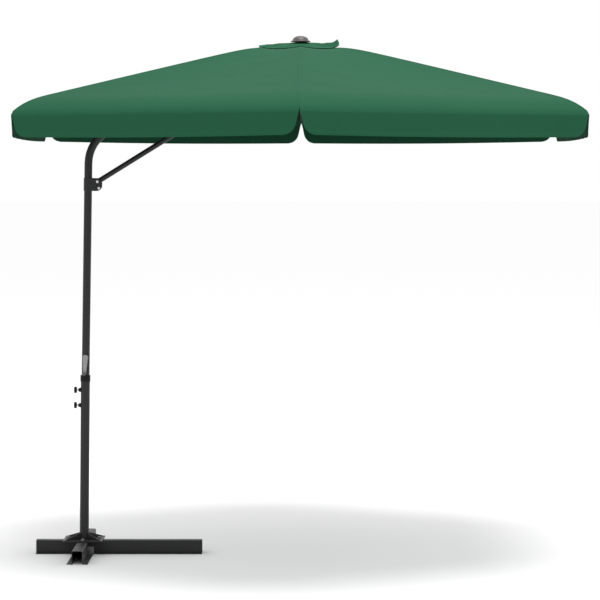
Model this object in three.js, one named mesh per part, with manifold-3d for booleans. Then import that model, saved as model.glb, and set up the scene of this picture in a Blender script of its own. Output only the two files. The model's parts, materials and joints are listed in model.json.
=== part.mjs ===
// A cantilever patio umbrella: a cross-shaped steel base, a two-part mast that bends over into an arm,
// and a hexagonal canopy that hangs from the arm's end and folds down by a crank and a cord.
// Millimetres, +Z up. The origin is on the ground under the middle of the canopy, +X points away from
// the mast, and the canopy has a corner towards -Y and another towards +Y.

import * as THREE from 'three';
import { mergeVertices } from 'three/addons/utils/BufferGeometryUtils.js';
import Module from 'manifold-3d';

const wasm = await Module();
wasm.setup();

// ---------- Driving dimensions ----------

const GAP = 0.3; // between pieces that touch

// Canopy: a height profile along each rib, and straight chords between the ribs.
const RIB_COUNT = 6;
const FIRST_RIB_DEG = 30;
const CANOPY_RADIUS = 1500; // centre to a corner
const CANOPY_SLOPE = 0.2324; // fall for each millimetre outwards, away from the knee
const CANOPY_INTERCEPT = 2491.7; // height of the straight part, carried on to the centre
const KNEE_RADIUS = 265.5; // the ribs flatten inside this radius
const KNEE_WIDTH = 76.7;
const DROOP_START = 1300; // the fabric curls over from here to the eave
const TIP_DROOP = 42;
const PANEL_SAG = 18; // dip of the fabric half-way between two ribs
const FABRIC = 1; // thickness of the fabric solids
const VENT_RADIUS = 118; // opening at the top, under the vent cap
const VALANCE_DROP = 108;
const NOTCH_HALF_WIDTH = 46; // of the gap between two valance flaps, at their lower edge

// Ribs and stretchers: an isosceles linkage, so that every stretcher ends at the runner at any fold.
const PIVOT_RADIUS = 70; // of the crown's and the runner's pivot rings
const RIB_DROP = 12.5; // rib centreline below the fabric
const RIB_WIDTH = 12;
const RIB_HEIGHT = 18;
const RIB_WALL = 1;
const RIB_END_RADIUS = 1400;
const TIP_END_RADIUS = 1475;
const TIP_LOWERED = 3; // rib tip centreline below the rib's own
const JOINT_RADIUS = 720; // where the stretcher meets the rib
const JOINT_DROP = 21; // stretcher pivot below the rib's centreline
const STRETCHER_WIDTH = 10;
const STRETCHER_HEIGHT = 14;
const RING_WIRE = 2; // radius of the wire rings that the ribs and stretchers hinge on
const PIN_RADIUS = 2.5;

// Mast: the lower tube leans a little, and the upper tube leans more by the play between them.
const FOOT_X = -1046.4;
const LOWER_LEAN_DEG = 0.68;
const UPPER_LEAN_DEG = 1.02;
const LOWER_RADIUS = 22;
const UPPER_RADIUS = 19;
const MAST_WALL = 1.5;
const LOWER_TOP = 856;
const UPPER_BOTTOM = 615;
const MAST_CROSS_Z = 735; // where the two axes cross
const BEND_START_Z = 1879;
const BEND_RADIUS = 180;
const ARM_SLOPE_DEG = 20.125;
const ARM_END_X = -36;

// Base.
const BAR_WIDTH = 52;
const BAR_HEIGHT = 63.5;
const BAR_FLANGE = 23;
const BAR_STEEL = 3;
const BAR_CORNER = 6;
const LONG_BAR_START_X = -1275.3;
const LONG_BAR_END_X = -475.7;
const CROSS_BAR_REACH = 370; // each way from the mast
const PLATE_SIDE = 190;
const PLATE_STEEL = 5;
const GUSSET_HEIGHT = 30;
const GUSSET_REACH = 100; // along the plate's diagonals
const FOOT_BOLT_RADIUS = 75; // from the mast to each bolt

// Clamp knobs on the lower mast.
const KNOB_HEIGHTS = { upper: 789, lower: 715 };
const SCREW_RADIUS = 3.5;

// Strut.
const STRUT_RADIUS = 12.5;
const STRUT_FOOT = { x: -973, z: 1791 };
const STRUT_SLOPE = 0.6194;
const STRUT_HEAD_X = -249;
const BRACKET_STEEL = 2.2;
const BRACKET_HEIGHT = 62;

// Crank.
const CRANK_Z = 948;
const CRANK_LENGTH = 79;
const CRANK_TILT_DEG = 3;
const SPINDLE_RADIUS = 5;
const CORD_RADIUS = 2.5;

// Crown and runner.
const HUB_RADIUS = 84;
const HUB_HALF_HEIGHT = 14;
const SLOT_START = 50; // inner end of the slots in the hubs
const PULLEY_RADIUS = 14; // of the cord's centreline on the pulley

// ---------- Colours ----------

const COATED_STEEL = { color: 0x2c2d2f, roughness: 0.45, metalness: 0.4 };
const BRIGHT_STEEL = { color: 0xb9bbbd, roughness: 0.3, metalness: 0.9 };
const CAST_METAL = { color: 0x8f9193, roughness: 0.45, metalness: 0.6 };
const BLACK_PLASTIC = { color: 0x191a1b, roughness: 0.55, metalness: 0 };
const GREY_PLASTIC = { color: 0x8b8585, roughness: 0.4, metalness: 0 };
const CORD_WHITE = { color: 0xd9d8d2, roughness: 0.9, metalness: 0 };
const GREEN_FABRIC = { color: 0x1f7a4f, roughness: 0.85, metalness: 0 };

// ---------- Tools ----------

const rad = THREE.MathUtils.degToRad;
const { clamp } = THREE.MathUtils;
const Y_AXIS = new THREE.Vector3(0, 1, 0);
const Z_AXIS = new THREE.Vector3(0, 0, 1);

function point(x, y, z) {
  return new THREE.Vector3(x, y, z);
}

function solidOf(geometry) {
  const bare = geometry.clone();
  bare.deleteAttribute('normal');
  bare.deleteAttribute('uv');
  const merged = mergeVertices(bare, 1e-4);
  const mesh = new wasm.Mesh({
    numProp: 3,
    vertProperties: new Float32Array(merged.attributes.position.array),
    triVerts: new Uint32Array(merged.index.array),
  });
  return new wasm.Manifold(mesh);
}

function geometryOf(solid) {
  const mesh = solid.getMesh();
  const geometry = new THREE.BufferGeometry();
  geometry.setAttribute('position', new THREE.BufferAttribute(mesh.vertProperties, 3));
  geometry.setIndex(new THREE.BufferAttribute(mesh.triVerts, 1));
  return geometry;
}

// The first solid less all the others.
function cut(geometry, ...tools) {
  return geometryOf(tools.reduce((left, tool) => left.subtract(solidOf(tool)), solidOf(geometry)));
}

function join(...parts) {
  return geometryOf(parts.slice(1).reduce((left, part) => left.add(solidOf(part)), solidOf(parts[0])));
}

function intersect(a, b) {
  return geometryOf(solidOf(a).intersect(solidOf(b)));
}

function box(low, high) {
  const size = high.map((value, i) => value - low[i]);
  const geometry = new THREE.BoxGeometry(...size);
  return geometry.translate(...low.map((value, i) => value + size[i] / 2));
}

// A round bar between two points, or a cone when the end radius differs.
function rod(from, to, radius, sides = 20, endRadius = radius) {
  const along = to.clone().sub(from);
  const geometry = new THREE.CylinderGeometry(endRadius, radius, along.length(), sides);
  geometry.applyQuaternion(new THREE.Quaternion().setFromUnitVectors(Y_AXIS, along.clone().normalize()));
  return geometry.translate(...from.clone().add(to).multiplyScalar(0.5).toArray());
}

// A profile of (radius, height) points, counterclockwise, turned about the Z axis.
function turned(profile, sides = 32) {
  const points = profile.map(([radius, height]) => new THREE.Vector2(radius, height));
  return new THREE.LatheGeometry(points, sides).rotateX(Math.PI / 2);
}

function rectangle(width, height) {
  const shape = new THREE.Shape();
  shape.moveTo(-width / 2, -height / 2);
  shape.lineTo(width / 2, -height / 2);
  shape.lineTo(width / 2, height / 2);
  shape.lineTo(-width / 2, height / 2);
  shape.closePath();
  return shape;
}

function disc(radius, holeRadius = 0) {
  const shape = new THREE.Shape();
  shape.absarc(0, 0, radius, 0, 2 * Math.PI);
  if (holeRadius > 0) {
    const hole = new THREE.Path();
    hole.absarc(0, 0, holeRadius, 0, 2 * Math.PI, true);
    shape.holes.push(hole);
  }
  return shape;
}

// A path in a plane of constant y, given by its stations. A section swept along it keeps its own x
// along +Y and its own y square to the path.
class StationPath extends THREE.Curve {
  constructor(stations) {
    super();
    this.stations = stations;
  }

  getPointAt(u) {
    return this.stations[Math.round(u * (this.stations.length - 1))].clone();
  }

  getTangentAt(u) {
    const i = Math.round(u * (this.stations.length - 1));
    const before = this.stations[Math.max(i - 1, 0)];
    const here = this.stations[i];
    const after = this.stations[Math.min(i + 1, this.stations.length - 1)];
    const arriving = here.clone().sub(before).normalize();
    const leaving = after.clone().sub(here).normalize();
    return arriving.add(leaving).normalize();
  }

  computeFrenetFrames(segments) {
    const tangents = [];
    for (let i = 0; i <= segments; i++) tangents.push(this.getTangentAt(i / segments));
    const normals = tangents.map(() => Y_AXIS.clone());
    const binormals = tangents.map((tangent) => tangent.clone().cross(Y_AXIS));
    return { tangents, normals, binormals };
  }
}

function sweep(stations, shape, curveSegments = 5) {
  return new THREE.ExtrudeGeometry(shape, {
    steps: stations.length - 1,
    extrudePath: new StationPath(stations),
    bevelEnabled: false,
    curveSegments,
  });
}

// A thin closed sheet: place(row, across, outer) gives a point of its outer or inner face, with row
// from 0 to rows and across from -1 to 1.
function sheet(rows, columns, place) {
  const outside = (row, column) => 2 * (row * (columns + 1) + column);
  const inside = (row, column) => outside(row, column) + 1;
  const positions = [];
  const index = [];
  const quad = (a, b, c, d) => index.push(a, b, c, a, c, d);
  for (let row = 0; row <= rows; row++) {
    for (let column = 0; column <= columns; column++) {
      const across = (2 * column) / columns - 1;
      positions.push(...place(row, across, true).toArray(), ...place(row, across, false).toArray());
    }
  }
  for (let row = 0; row < rows; row++) {
    for (let column = 0; column < columns; column++) {
      const corners = [[row, column], [row + 1, column], [row + 1, column + 1], [row, column + 1]];
      const [a, b, c, d] = corners.map((corner) => outside(...corner));
      quad(a, b, c, d);
      quad(a + 1, d + 1, c + 1, b + 1);
    }
  }
  for (let column = 0; column < columns; column++) {
    quad(outside(0, column), outside(0, column + 1), inside(0, column + 1), inside(0, column));
    quad(outside(rows, column + 1), outside(rows, column), inside(rows, column), inside(rows, column + 1));
  }
  for (let row = 0; row < rows; row++) {
    quad(outside(row + 1, 0), outside(row, 0), inside(row, 0), inside(row + 1, 0));
    quad(outside(row, columns), outside(row + 1, columns), inside(row + 1, columns), inside(row, columns));
  }
  const geometry = new THREE.BufferGeometry();
  geometry.setAttribute('position', new THREE.Float32BufferAttribute(positions, 3));
  geometry.setIndex(index);
  return geometry;
}

const umbrella = new THREE.Group();

function add(name, geometry, finish, parent = umbrella) {
  const mesh = new THREE.Mesh(geometry, new THREE.MeshStandardMaterial(finish));
  mesh.name = name;
  parent.add(mesh);
  return mesh;
}

// ---------- Mast axes ----------

function lowerAxisX(z) {
  return FOOT_X + Math.tan(rad(LOWER_LEAN_DEG)) * z;
}

function upperAxisX(z) {
  return lowerAxisX(MAST_CROSS_Z) + Math.tan(rad(UPPER_LEAN_DEG)) * (z - MAST_CROSS_Z);
}

function lowerAxis(z, y = 0) {
  return point(lowerAxisX(z), y, z);
}

function upperAxis(z, y = 0) {
  return point(upperAxisX(z), y, z);
}

const mastUp = point(Math.sin(rad(UPPER_LEAN_DEG)), 0, Math.cos(rad(UPPER_LEAN_DEG)));
const armDirection = point(Math.cos(rad(ARM_SLOPE_DEG)), 0, Math.sin(rad(ARM_SLOPE_DEG)));
const bendCentre = upperAxis(BEND_START_Z).add(mastUp.clone().cross(Y_AXIS).multiplyScalar(-BEND_RADIUS));

// A point on the bend's centreline, turned by an angle from the mast's direction.
function bendPoint(angle) {
  const outwards = mastUp.clone().cross(Y_AXIS).multiplyScalar(BEND_RADIUS);
  return bendCentre.clone().add(outwards.applyAxisAngle(Y_AXIS, angle));
}

const bendAngle = mastUp.angleTo(armDirection);
const armStart = bendPoint(bendAngle);

function armPoint(x) {
  return armStart.clone().addScaledVector(armDirection, (x - armStart.x) / armDirection.x);
}

function bendStations(steps) {
  return Array.from({ length: steps + 1 }, (_, i) => bendPoint((bendAngle * i) / steps));
}

// ---------- Base ----------

function hatShape() {
  const half = BAR_WIDTH / 2;
  const innerCorner = BAR_CORNER - BAR_STEEL;
  const top = BAR_HEIGHT;
  const shape = new THREE.Shape();
  shape.moveTo(-half - BAR_FLANGE, 0);
  shape.lineTo(-half + BAR_STEEL, 0);
  shape.lineTo(-half + BAR_STEEL, top - BAR_CORNER);
  shape.absarc(-half + BAR_CORNER, top - BAR_CORNER, innerCorner, Math.PI, Math.PI / 2, true);
  shape.absarc(half - BAR_CORNER, top - BAR_CORNER, innerCorner, Math.PI / 2, 0, true);
  shape.lineTo(half - BAR_STEEL, 0);
  shape.lineTo(half + BAR_FLANGE, 0);
  shape.lineTo(half + BAR_FLANGE, BAR_STEEL);
  shape.lineTo(half, BAR_STEEL);
  shape.absarc(half - BAR_CORNER, top - BAR_CORNER, BAR_CORNER, 0, Math.PI / 2, false);
  shape.absarc(-half + BAR_CORNER, top - BAR_CORNER, BAR_CORNER, Math.PI / 2, Math.PI, false);
  shape.lineTo(-half, BAR_STEEL);
  shape.lineTo(-half - BAR_FLANGE, BAR_STEEL);
  shape.closePath();
  return shape;
}

// A hat-section bar along +X from the origin, open underneath.
function hatBar(length) {
  const options = { depth: length, bevelEnabled: false, curveSegments: 3 };
  const geometry = new THREE.ExtrudeGeometry(hatShape(), options);
  const axes = new THREE.Matrix4().makeBasis(Y_AXIS, Z_AXIS, point(1, 0, 0));
  return geometry.applyMatrix4(axes);
}

const FOOT_BOLTS = [
  [FOOT_BOLT_RADIUS, 0],
  [0, FOOT_BOLT_RADIUS],
  [-FOOT_BOLT_RADIUS, 0],
  [0, -FOOT_BOLT_RADIUS],
];
const BOLT_RADIUS = 5;
const PLATE_BOTTOM = BAR_HEIGHT + GAP;
const PLATE_TOP = PLATE_BOTTOM + PLATE_STEEL;

function footBoltHoles() {
  return FOOT_BOLTS.map(([x, y]) =>
    rod(point(FOOT_X + x, y, BAR_HEIGHT - 20), point(FOOT_X + x, y, PLATE_TOP + 20), BOLT_RADIUS + GAP, 12));
}

// The two bars lap at half their height where they cross.
function addBaseBars() {
  const lap = BAR_HEIGHT / 2;
  const longBar = hatBar(LONG_BAR_END_X - LONG_BAR_START_X).translate(LONG_BAR_START_X, 0, 0);
  const underLap = BAR_WIDTH / 2 + BAR_FLANGE + GAP;
  const longNotch = box([FOOT_X - underLap, -60, -1], [FOOT_X + underLap, 60, lap]);
  add('base_long_bar', cut(longBar, longNotch, ...footBoltHoles()), COATED_STEEL);

  const crossBar = hatBar(2 * CROSS_BAR_REACH).translate(-CROSS_BAR_REACH, 0, 0);
  crossBar.rotateZ(Math.PI / 2).translate(FOOT_X, 0, 0);
  const overLap = BAR_WIDTH / 2 + GAP;
  const crossNotch = box([FOOT_X - 60, -overLap, lap - GAP], [FOOT_X + 60, overLap, BAR_HEIGHT + 1]);
  add('base_cross_bar', cut(crossBar, crossNotch, ...footBoltHoles()), COATED_STEEL);
}

// A triangular rib of the foot, standing on the plate along +X.
function gusset() {
  const shape = new THREE.Shape();
  shape.moveTo(0, 0);
  shape.lineTo(LOWER_RADIUS + GUSSET_REACH, 0);
  shape.lineTo(LOWER_RADIUS + GUSSET_REACH, 2);
  shape.lineTo(LOWER_RADIUS + 3, GUSSET_HEIGHT);
  shape.lineTo(0, GUSSET_HEIGHT);
  shape.closePath();
  const thickness = 4;
  const geometry = new THREE.ExtrudeGeometry(shape, { depth: thickness, bevelEnabled: false });
  return geometry.translate(0, 0, -thickness / 2).rotateX(Math.PI / 2);
}

// The tube, its foot plate and four gussets are welded into one piece.
function addLowerMast() {
  const half = PLATE_SIDE / 2;
  const plate = box([FOOT_X - half, -half, PLATE_BOTTOM], [FOOT_X + half, half, PLATE_TOP]);
  const gussets = [0, 1, 2, 3].map((i) =>
    gusset().rotateZ(rad(45 + 90 * i)).translate(FOOT_X, 0, PLATE_TOP - 1));
  const tube = rod(lowerAxis(PLATE_BOTTOM + 1), lowerAxis(LOWER_TOP), LOWER_RADIUS, 32);
  const bore = rod(lowerAxis(PLATE_TOP), lowerAxis(LOWER_TOP + 10), LOWER_RADIUS - MAST_WALL, 32);
  const screwHoles = Object.values(KNOB_HEIGHTS).map((z) =>
    rod(lowerAxis(z), lowerAxis(z).add(point(-40, 0, 0)), SCREW_RADIUS + GAP, 12));
  const holes = [bore, ...footBoltHoles(), ...screwHoles];
  add('lower_mast', cut(join(plate, ...gussets, tube), ...holes), COATED_STEEL);
}

function addFootBolts() {
  const washer = 2;
  const head = 6.5;
  FOOT_BOLTS.forEach(([x, y], i) => {
    const seat = PLATE_TOP + GAP;
    const at = (height) => point(FOOT_X + x, y, height);
    const bolt = join(
      rod(at(BAR_HEIGHT - 18), at(seat + 1), BOLT_RADIUS, 12),
      rod(at(seat), at(seat + washer), 10.5, 20),
      rod(at(seat + washer - 0.2), at(seat + washer + head), 8.6, 6),
    );
    add(`foot_bolt_${i + 1}`, bolt, BRIGHT_STEEL);
  });
}

// ---------- Where the two mast tubes meet ----------

function addMastCollar() {
  const lip = 4;
  const skirt = 26;
  const profile = [
    [UPPER_RADIUS + 1.2, 0],
    [UPPER_RADIUS + 1.2, -lip],
    [LOWER_RADIUS + GAP, -lip],
    [LOWER_RADIUS + GAP, -lip - skirt],
    [LOWER_RADIUS + 2.2, -lip - skirt],
    [LOWER_RADIUS + 2.2, 0],
    [UPPER_RADIUS + 1.2, 0],
  ];
  const collar = turned(profile).rotateY(rad(LOWER_LEAN_DEG));
  const top = lowerAxis(LOWER_TOP + GAP + lip);
  add('mast_collar', collar.translate(top.x, 0, top.z), BLACK_PLASTIC);
}

// A lobed hand wheel along +X, its inner face at the origin.
function handWheel(thickness) {
  const lobes = 6;
  const shape = new THREE.Shape();
  const steps = 36;
  for (let i = 0; i < steps; i++) {
    const angle = (2 * Math.PI * i) / steps;
    const radius = 14 + 1.4 * Math.cos(lobes * angle);
    const corner = [radius * Math.cos(angle), radius * Math.sin(angle)];
    if (i === 0) shape.moveTo(...corner);
    else shape.lineTo(...corner);
  }
  shape.closePath();
  const bevel = { bevelThickness: 2, bevelSize: 2, bevelOffset: -2, bevelSegments: 1 };
  const geometry = new THREE.ExtrudeGeometry(shape, { depth: thickness - 4, bevelEnabled: true, ...bevel });
  return geometry.translate(0, 0, 2).rotateY(Math.PI / 2);
}

function addClampKnobs() {
  const nutStart = LOWER_RADIUS + GAP;
  const nutEnd = 33;
  const screwEnd = 47;
  const wheelStart = 40.5;
  const wheelThickness = 13;
  for (const [place, z] of Object.entries(KNOB_HEIGHTS)) {
    const onAxis = lowerAxis(z);
    const out = (distance) => onAxis.clone().add(point(-distance, 0, 0));
    const nut = cut(
      rod(out(nutStart - 3), out(nutEnd), 11.5, 24, 8),
      rod(out(0), out(nutEnd + 5), SCREW_RADIUS + GAP, 12),
      rod(lowerAxis(z - 30), lowerAxis(z + 30), nutStart, 32),
    );
    add(`clamp_nut_${place}`, nut, BLACK_PLASTIC);
    const screw = rod(out(UPPER_RADIUS + 0.8), out(screwEnd), SCREW_RADIUS, 12);
    add(`clamp_screw_${place}`, screw, BRIGHT_STEEL);
    const wheel = handWheel(wheelThickness).rotateZ(Math.PI).translate(...out(wheelStart).toArray());
    const socket = rod(out(wheelStart - 1), out(screwEnd + GAP), SCREW_RADIUS + GAP, 12);
    add(`clamp_knob_${place}`, cut(wheel, socket), BLACK_PLASTIC);
  }
}

// ---------- Upper mast ----------

// One tube: straight up, round the bend and along the arm.
function addUpperMast() {
  const stations = [upperAxis(UPPER_BOTTOM), ...bendStations(9), armPoint(ARM_END_X)];
  const tube = sweep(stations, disc(UPPER_RADIUS, UPPER_RADIUS - MAST_WALL), 8);
  const spindleHole = rod(upperAxis(CRANK_Z, -60), upperAxis(CRANK_Z, 60), SPINDLE_RADIUS + 0.6, 12);
  add('upper_mast', cut(tube, spindleHole), COATED_STEEL);
}

// ---------- Strut and its two brackets ----------

const strutFoot = point(STRUT_FOOT.x, 0, STRUT_FOOT.z);
const strutHead = point(STRUT_HEAD_X, 0, STRUT_FOOT.z + STRUT_SLOPE * (STRUT_HEAD_X - STRUT_FOOT.x));
const EAR_OUTSIDE = UPPER_RADIUS + GAP + BRACKET_STEEL;

// A steel strap round a tube that runs along Z, with two ears that reach out along +X.
function strap(reach, height) {
  const inner = UPPER_RADIUS + GAP;
  const shape = new THREE.Shape();
  shape.moveTo(reach, -inner);
  shape.lineTo(0, -inner);
  shape.absarc(0, 0, inner, -Math.PI / 2, Math.PI / 2, true);
  shape.lineTo(reach, inner);
  shape.lineTo(reach, EAR_OUTSIDE);
  shape.lineTo(0, EAR_OUTSIDE);
  shape.absarc(0, 0, EAR_OUTSIDE, Math.PI / 2, -Math.PI / 2, false);
  shape.lineTo(reach, -EAR_OUTSIDE);
  shape.closePath();
  const geometry = new THREE.ExtrudeGeometry(shape, { depth: height, bevelEnabled: false, curveSegments: 8 });
  return geometry.translate(0, 0, -height / 2);
}

// The ears' side view, rounded at the free end.
function earOutline(reach, height) {
  const radius = height * 0.42;
  const shape = new THREE.Shape();
  shape.moveTo(-30, -height / 2);
  shape.lineTo(reach - radius, -height / 2);
  shape.absarc(reach - radius, -height / 2 + radius, radius, -Math.PI / 2, 0, false);
  shape.absarc(reach - radius, height / 2 - radius, radius, 0, Math.PI / 2, false);
  shape.lineTo(-30, height / 2);
  shape.closePath();
  const geometry = new THREE.ExtrudeGeometry(shape, { depth: 60, bevelEnabled: false, curveSegments: 5 });
  return geometry.translate(0, 0, -30).rotateX(Math.PI / 2);
}

// A bolt along Y with a hexagon head at each end.
function crossBolt(at, radius) {
  const out = (y) => at.clone().add(point(0, y, 0));
  const seat = EAR_OUTSIDE + GAP;
  return join(
    rod(out(-seat - 1), out(seat + 1), radius, 12),
    rod(out(-seat - 5), out(-seat), radius * 1.75, 6),
    rod(out(seat), out(seat + 5), radius * 1.75, 6),
  );
}

function boltHole(at, radius) {
  return rod(at.clone().add(point(0, -40, 0)), at.clone().add(point(0, 40, 0)), radius + GAP, 12);
}

function addStrut() {
  const boltRadius = 4;
  const along = strutHead.clone().sub(strutFoot).normalize();
  const start = strutFoot.clone().addScaledVector(along, -15);
  const end = strutHead.clone().addScaledVector(along, 15);
  const tube = sweep([start, end], disc(STRUT_RADIUS, STRUT_RADIUS - 1.2), 6);
  add('strut', cut(tube, boltHole(strutFoot, boltRadius), boltHole(strutHead, boltRadius)), COATED_STEEL);

  const bracketZ = 1778;
  const reach = 66;
  const clampBoltAt = point(-965.5, 0, 1760);
  const mastBracket = intersect(strap(reach, BRACKET_HEIGHT), earOutline(reach, BRACKET_HEIGHT));
  mastBracket.rotateY(rad(UPPER_LEAN_DEG)).translate(...upperAxis(bracketZ).toArray());
  const mastHoles = [boltHole(strutFoot, boltRadius), boltHole(clampBoltAt, boltRadius)];
  add('mast_bracket', cut(mastBracket, ...mastHoles), COATED_STEEL);
  add('strut_foot_bolt', crossBolt(strutFoot, boltRadius), BRIGHT_STEEL);
  add('bracket_clamp_bolt', crossBolt(clampBoltAt, boltRadius), BRIGHT_STEEL);

  const armHeight = 46;
  const armReach = 60;
  const foot = armPoint(0).sub(strutHead).dot(armDirection);
  const onArm = armPoint(0).addScaledVector(armDirection, -foot);
  const armBracket = intersect(strap(armReach, armHeight), earOutline(armReach, armHeight));
  armBracket.rotateY(rad(90 - ARM_SLOPE_DEG)).translate(...onArm.toArray());
  add('arm_bracket', cut(armBracket, boltHole(strutHead, boltRadius)), COATED_STEEL);
  add('strut_head_bolt', crossBolt(strutHead, boltRadius), BRIGHT_STEEL);
}

// ---------- Crank, cord and pulley ----------

const DRUM_RADIUS = 8;
const WINDING_RADIUS = 13;
const WINDING_HALF_LENGTH = 9;
const CRANK_FACE_Y = -26.5; // inner face of the crank arm
const CRANK_STEEL = 6;

function addCrank() {
  const at = (y) => upperAxis(CRANK_Z, y);
  const bearing = cut(
    rod(at(-UPPER_RADIUS + 6), at(CRANK_FACE_Y + GAP), 16, 28, 13),
    rod(upperAxis(CRANK_Z - 40), upperAxis(CRANK_Z + 40), UPPER_RADIUS + GAP, 32),
    rod(at(-60), at(60), SPINDLE_RADIUS + GAP, 12),
  );
  add('crank_bearing', bearing, BLACK_PLASTIC);

  const spindle = join(
    rod(at(CRANK_FACE_Y - CRANK_STEEL + 1), at(UPPER_RADIUS + 4), SPINDLE_RADIUS, 12),
    rod(at(-WINDING_HALF_LENGTH), at(WINDING_HALF_LENGTH), DRUM_RADIUS, 16),
    rod(at(-WINDING_HALF_LENGTH - 1.5), at(-WINDING_HALF_LENGTH), WINDING_RADIUS, 16),
    rod(at(WINDING_HALF_LENGTH), at(WINDING_HALF_LENGTH + 1.5), WINDING_RADIUS, 16),
  );
  add('crank_spindle', spindle, BRIGHT_STEEL);

  const crank = new THREE.Group();
  crank.position.copy(at(CRANK_FACE_Y));
  crank.rotation.y = rad(CRANK_TILT_DEG);
  umbrella.add(crank);
  const gripPinEnd = -CRANK_STEEL - 38;
  const gripAt = (y) => point(0, y, -CRANK_LENGTH);
  const arm = cut(
    join(crankArmPlate(), rod(gripAt(-1), gripAt(gripPinEnd), 3, 12)),
    rod(point(0, 5, 0), point(0, -CRANK_STEEL + 0.7, 0), SPINDLE_RADIUS + GAP, 12),
  );
  add('crank_arm', arm, CAST_METAL, crank);

  const gripStart = -CRANK_STEEL - GAP;
  const grip = cut(
    join(
      rod(gripAt(gripStart), gripAt(gripStart - 8), 6.2, 16, 7.4),
      rod(gripAt(gripStart - 8), gripAt(gripStart - 34), 7.4, 16, 6.6),
      rod(gripAt(gripStart - 34), gripAt(gripStart - 40), 6.6, 16, 4.4),
    ),
    rod(gripAt(5), gripAt(gripPinEnd - GAP), 3 + GAP, 12),
  );
  add('crank_grip', grip, GREY_PLASTIC, crank);
}

// A tapered lever hanging from the origin, its inner face at y = 0.
function crankArmPlate() {
  const top = 12.5;
  const foot = 7;
  const shape = new THREE.Shape();
  shape.absarc(0, 0, top, 0, Math.PI, false);
  shape.lineTo(-foot, -CRANK_LENGTH);
  shape.absarc(0, -CRANK_LENGTH, foot, Math.PI, 2 * Math.PI, false);
  shape.closePath();
  const options = { depth: CRANK_STEEL, bevelEnabled: false, curveSegments: 8 };
  const geometry = new THREE.ExtrudeGeometry(shape, options);
  return geometry.rotateX(Math.PI / 2);
}

const pulleyCentre = armPoint(-PULLEY_RADIUS * (1 + Math.sin(rad(ARM_SLOPE_DEG))));
pulleyCentre.addScaledVector(armDirection.clone().cross(Y_AXIS), -PULLEY_RADIUS);

const crownZ = fabricHeight(PIVOT_RADIUS) - RIB_DROP;
const jointPoint = point(JOINT_RADIUS, 0, fabricHeight(JOINT_RADIUS) - RIB_DROP - JOINT_DROP);
const runnerZ = 2 * jointPoint.z - crownZ;
const FERRULE_HEIGHT = 18;
const ferruleBottom = runnerZ + HUB_HALF_HEIGHT + GAP;

// The cord from the drum up the mast, round the bend, along the arm, over the pulley and down.
function addCord() {
  const wind = WINDING_RADIUS - CORD_RADIUS;
  const rises = [1, 60, 140, 240, 340];
  const shares = [1, 1, 0.8, 0.4, 0];
  const stations = rises.map((rise, i) => upperAxis(CRANK_Z + rise).add(point(wind * shares[i], 0, 0)));
  stations.push(...bendStations(9));
  const wrapSteps = 6;
  const wrapStart = rad(90 + ARM_SLOPE_DEG);
  for (let i = 0; i <= wrapSteps; i++) {
    const angle = wrapStart * (1 - i / wrapSteps);
    const reach = PULLEY_RADIUS;
    stations.push(pulleyCentre.clone().add(point(reach * Math.cos(angle), 0, reach * Math.sin(angle))));
  }
  stations.push(point(0, 0, ferruleBottom + FERRULE_HEIGHT + GAP));
  const run = sweep(stations, disc(CORD_RADIUS), 2);
  const at = (y) => upperAxis(CRANK_Z, y);
  const winding = cut(
    rod(at(-WINDING_HALF_LENGTH + GAP), at(WINDING_HALF_LENGTH - GAP), WINDING_RADIUS, 20),
    rod(at(-60), at(60), DRUM_RADIUS + GAP, 16),
  );
  add('lift_cord', join(winding, run), CORD_WHITE);

  const ferruleProfile = [
    [0, 0],
    [8, 0],
    [8, 5],
    [5, 12],
    [5, FERRULE_HEIGHT],
    [0, FERRULE_HEIGHT],
  ];
  add('cord_ferrule', turned(ferruleProfile, 16).translate(0, 0, ferruleBottom), BRIGHT_STEEL);
}

function addPulley() {
  const groove = PULLEY_RADIUS - CORD_RADIUS - GAP;
  const rim = PULLEY_RADIUS + 3;
  const profile = [
    [3.4, -4.5],
    [rim, -4.5],
    [rim, -3.2],
    [groove, -2.6],
    [groove, 2.6],
    [rim, 3.2],
    [rim, 4.5],
    [3.4, 4.5],
    [3.4, -4.5],
  ];
  const wheel = turned(profile, 18).rotateX(Math.PI / 2).translate(...pulleyCentre.toArray());
  add('crown_pulley', wheel, BLACK_PLASTIC);
  const pin = rod(pulleyCentre.clone().setY(-24), pulleyCentre.clone().setY(24), 3, 12);
  add('pulley_pin', pin, BRIGHT_STEEL);
}

// ---------- Crown and runner ----------

function ribAngle(i) {
  return rad(FIRST_RIB_DEG + (360 / RIB_COUNT) * i);
}

// A hub with a slot for each arm and a channel for the wire ring that the arms hinge on.
function hub(z, armWidth) {
  const body = rod(point(0, 0, z - HUB_HALF_HEIGHT), point(0, 0, z + HUB_HALF_HEIGHT), HUB_RADIUS, 36);
  const slots = Array.from({ length: RIB_COUNT }, (_, i) => {
    const half = armWidth / 2 + 0.6;
    return box([SLOT_START, -half, z - 20], [HUB_RADIUS + 10, half, z + 20]).rotateZ(ribAngle(i));
  });
  const channel = new THREE.TorusGeometry(PIVOT_RADIUS, RING_WIRE + 0.5, 5, 36).translate(0, 0, z);
  return cut(body, ...slots, channel);
}

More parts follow.
